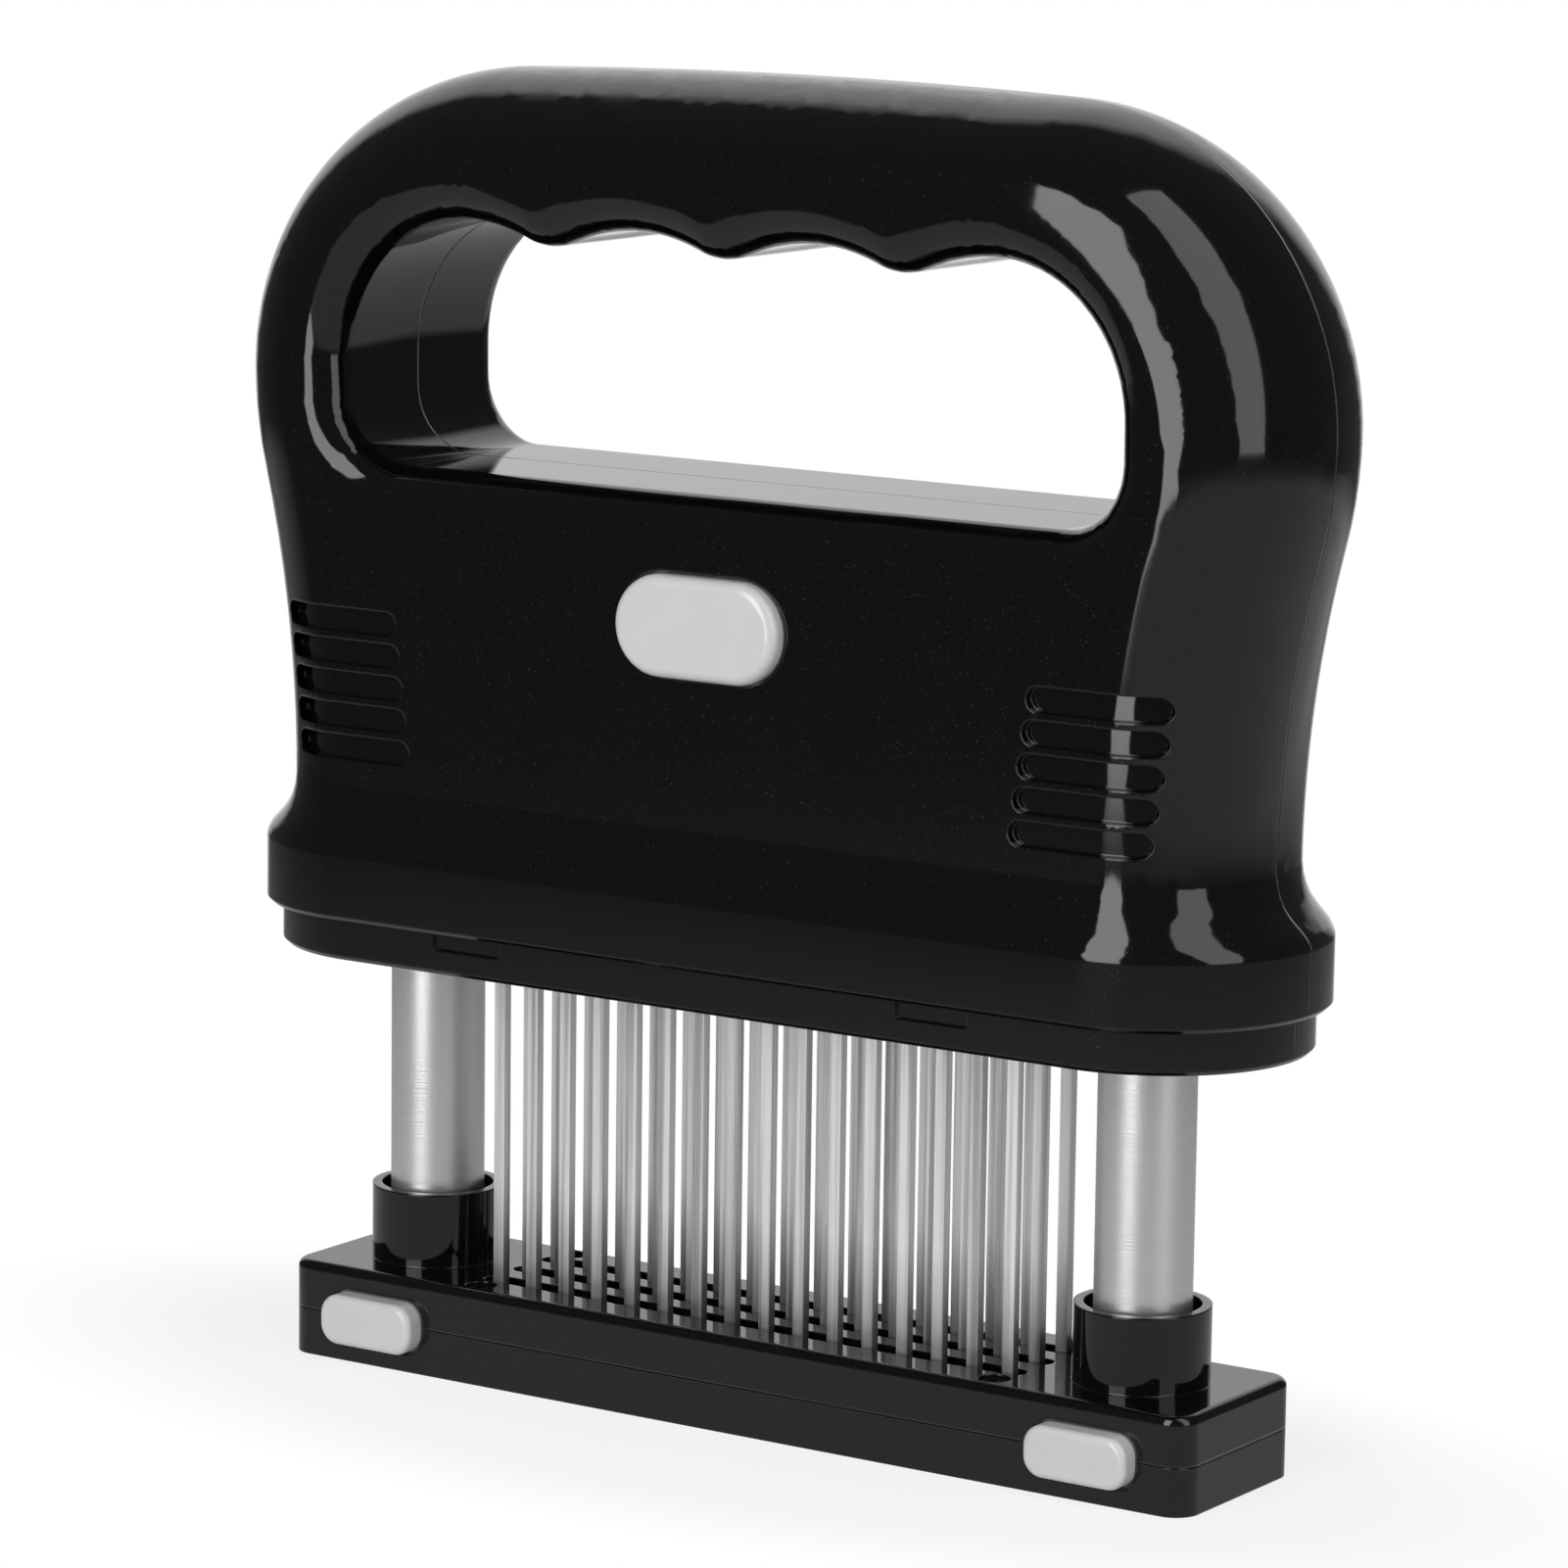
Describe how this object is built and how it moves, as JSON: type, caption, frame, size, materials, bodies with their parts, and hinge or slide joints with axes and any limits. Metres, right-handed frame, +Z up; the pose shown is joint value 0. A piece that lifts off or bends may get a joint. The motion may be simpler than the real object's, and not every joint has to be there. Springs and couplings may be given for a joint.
{
  "type": "blade meat tenderizer",
  "caption": "Hand press with a finger-grip handle that slides down two sprung posts and drives rows of narrow blades through a slotted guard base.",
  "frame": {"origin": "middle of the underside of the guard base, on the surface it stands on", "axes": "+Z up along the posts, X along the base, the release button faces -Y"},
  "size_m": [0.1412, 0.0392, 0.1539],
  "materials": {
    "housing_black": "deep piano-black moulded ABS, polished, with faint moulding haze",
    "base_black": "black moulded ABS, a little softer in gloss",
    "button_grey": "light grey glossy moulded plastic",
    "brushed_post": "stainless tube with fine brushing round it",
    "blade_steel": "ground and polished stainless blade",
    "plate_steel": "pressed steel, dull",
    "spring_steel": "drawn spring wire",
    "bush_nylon": "natural nylon, matte",
    "screw_steel": "plated screw heads"
  },
  "bodies": {
    "guard_base": {"base_bottom": "base_black", "base_top": "base_black", "base_screws": "screw_steel", "post_tube_left": "brushed_post", "post_tube_right": "brushed_post", "post_foot_left": "plate_steel", "post_foot_right": "plate_steel", "post_stop_left": "plate_steel", "post_stop_right": "plate_steel", "base_button_spring_left": "spring_steel", "base_button_spring_right": "spring_steel"},
    "handle_unit": {"front_shell": "housing_black", "rear_shell": "housing_black", "shell_screws": "screw_steel", "skirt_front": "base_black", "skirt_rear": "base_black", "blade_carrier": "base_black", "blade_keeper": "plate_steel", "blade_row_front": "blade_steel", "blade_row_middle": "blade_steel", "blade_row_rear": "blade_steel", "guide_bush_left": "bush_nylon", "guide_bush_right": "bush_nylon", "spring_rod_left": "bush_nylon", "spring_rod_right": "bush_nylon", "main_spring_left": "spring_steel", "main_spring_right": "spring_steel", "release_spring": "spring_steel"},
    "release_latch": {"release_button": "button_grey", "release_hook": "plate_steel"},
    "left_latch": {"base_button_left": "button_grey", "latch_plate_left": "plate_steel"},
    "right_latch": {"base_button_right": "button_grey", "latch_plate_right": "plate_steel"}
  },
  "joints": [
    {"name": "press_stroke", "type": "slide", "parent": "guard_base", "child": "handle_unit", "axis": [0, 0, -1], "range_m": [0, 0.027], "stiffness_N_per_m": 500, "springref_m": -0.016, "deforming": ["main_spring_left", "main_spring_right"]},
    {"name": "release_push", "type": "slide", "parent": "handle_unit", "child": "release_latch", "axis": [0, 1, 0], "range_m": [0, 0.0025], "stiffness_N_per_m": 600, "springref_m": -0.002, "deforming": ["release_spring"]},
    {"name": "left_button_push", "type": "slide", "parent": "guard_base", "child": "left_latch", "axis": [0, 1, 0], "range_m": [0, 0.002], "stiffness_N_per_m": 500, "springref_m": -0.002, "deforming": ["base_button_spring_left"]},
    {"name": "right_button_push", "type": "slide", "parent": "guard_base", "child": "right_latch", "axis": [0, 1, 0], "range_m": [0, 0.002], "stiffness_N_per_m": 500, "springref_m": -0.002, "deforming": ["base_button_spring_right"]}
  ]
}
